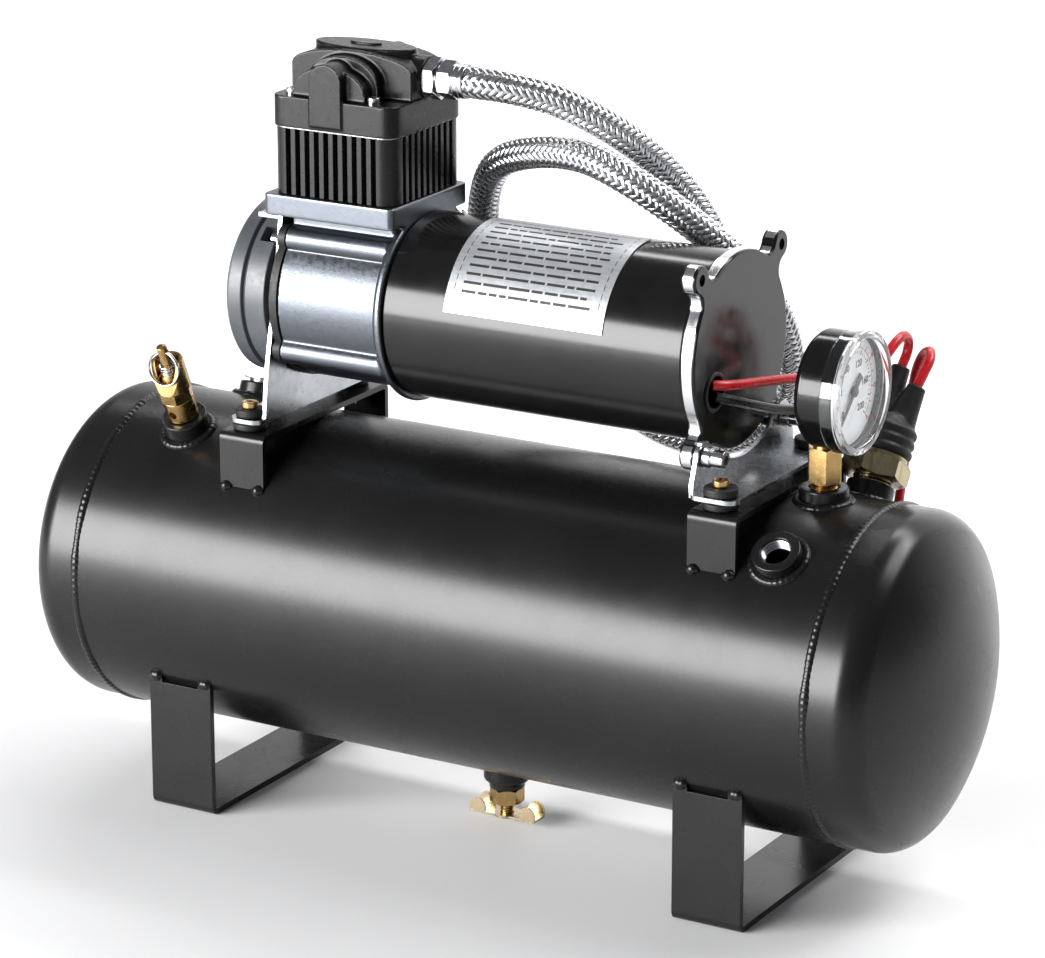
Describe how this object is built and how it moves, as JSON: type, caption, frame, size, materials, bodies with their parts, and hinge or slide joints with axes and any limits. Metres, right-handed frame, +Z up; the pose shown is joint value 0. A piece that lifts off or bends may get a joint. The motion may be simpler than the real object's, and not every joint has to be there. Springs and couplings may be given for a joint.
{
  "type": "hotdog air compressor",
  "caption": "Twelve-volt piston air compressor on rubber mounts above a horizontal dished-end air tank, with gauge, pressure switch, relief valve and drain.",
  "frame": {"origin": "on the floor midway between the two legs, at the centre of the footprint", "axes": "+X along the tank towards the gauge end, +Z up, -Y the front with the relief valve and the open port"},
  "size_m": [0.4644, 0.1859, 0.3615],
  "materials": {
    "tank_paint": "satin black paint on steel",
    "gloss_black": "gloss black enamel",
    "black_steel": "black phosphated steel",
    "zinc": "bright zinc plate",
    "cast_aluminium": "machined and bead-blasted aluminium casting",
    "black_cast": "semi-gloss black on a cast surface",
    "grey_plastic": "satin grey moulded plastic",
    "rubber": "matte black rubber",
    "brass": "machined brass",
    "bronze": "dark olive-bronze plating",
    "steel": "bright nickel plate",
    "braid": "braided stainless wire",
    "red_insulation": "red wire insulation",
    "black_insulation": "black wire insulation",
    "dial": "white printed dial",
    "clear": "clear moulded cover",
    "foil": "blank silver label"
  },
  "bodies": {
    "housing": {"tank_shell": "tank_paint", "relief_port": "tank_paint", "inlet_port": "tank_paint", "service_port": "tank_paint", "gauge_port": "tank_paint", "switch_port": "tank_paint", "drain_port": "tank_paint", "left_leg": "tank_paint", "right_leg": "tank_paint", "left_strap": "tank_paint", "right_strap": "tank_paint", "motor_tube": "gloss_black", "motor_end_plate": "gloss_black", "gauge_case": "gloss_black", "inlet_fitting": "black_steel", "left_bracket": "zinc", "right_bracket": "zinc", "crankcase": "cast_aluminium", "cylinder": "black_cast", "cylinder_head": "black_cast", "end_cap": "grey_plastic", "crankcase_gasket": "rubber", "pressure_switch_boot": "rubber", "left_front_isolator": "rubber", "left_rear_isolator": "rubber", "right_front_isolator": "rubber", "right_rear_isolator": "rubber", "left_front_isolator_bolt": "brass", "left_rear_isolator_bolt": "brass", "right_front_isolator_bolt": "brass", "right_rear_isolator_bolt": "brass", "gauge_stem": "brass", "relief_valve_body": "brass", "drain_cock_body": "brass", "pressure_switch": "bronze", "left_front_screw": "steel", "left_rear_screw": "steel", "right_front_screw": "steel", "right_rear_screw": "steel", "front_head_screw": "steel", "rear_head_screw": "steel", "outlet_nut": "steel", "hose_ferrule": "steel", "positive_terminal": "steel", "negative_terminal": "steel", "air_hose": "braid", "switch_wire": "red_insulation", "positive_lead": "red_insulation", "negative_lead": "black_insulation", "gauge_dial": "dial", "gauge_lens": "clear", "motor_label": "foil"},
    "rotor": {"motor_rotor": "steel", "crank": "steel"},
    "rod": {"piston_rod": "cast_aluminium"},
    "pointer": {"gauge_pointer": "black_steel"},
    "valve_stem": {"relief_valve_stem": "brass"},
    "pull_ring": {"relief_valve_ring": "steel"},
    "drain_screw": {"drain_cock_stem": "brass", "drain_cock_handle": "zinc"}
  },
  "joints": [
    {"name": "rotor_spin", "type": "hinge", "parent": "housing", "child": "rotor", "pos_m": [0, 0, 0.2444], "axis": [1, 0, 0], "continuous": true},
    {"name": "rod_swing", "type": "hinge", "parent": "rotor", "child": "rod", "pos_m": [-0.073, 0, 0.2374], "axis": [1, 0, 0], "continuous": true},
    {"name": "pointer_turn", "type": "hinge", "parent": "housing", "child": "pointer", "pos_m": [0.173, 0, 0.233], "axis": [-1, 0, 0], "range_deg": [0, 270], "stiffness_Nm_per_rad": 0.0005, "springref_deg": -17.19},
    {"name": "relief_pull", "type": "slide", "parent": "housing", "child": "valve_stem", "axis": [0, -0.4067, 0.9135], "range_m": [0, 0.003], "stiffness_N_per_m": 6000, "springref_m": -0.002},
    {"name": "ring_swing", "type": "hinge", "parent": "valve_stem", "child": "pull_ring", "pos_m": [-0.154, -0.0495, 0.21738], "axis": [-1, 0, 0], "range_deg": [0, 150]},
    {"name": "drain_turn", "type": "hinge", "parent": "housing", "child": "drain_screw", "pos_m": [0, 0, 0.0041], "axis": [0, 0, -1], "range_deg": [0, 540]}
  ],
  "couplings": [
    {"joint": "rod_swing", "follows": "rotor_spin", "ratio": -1}
  ]
}
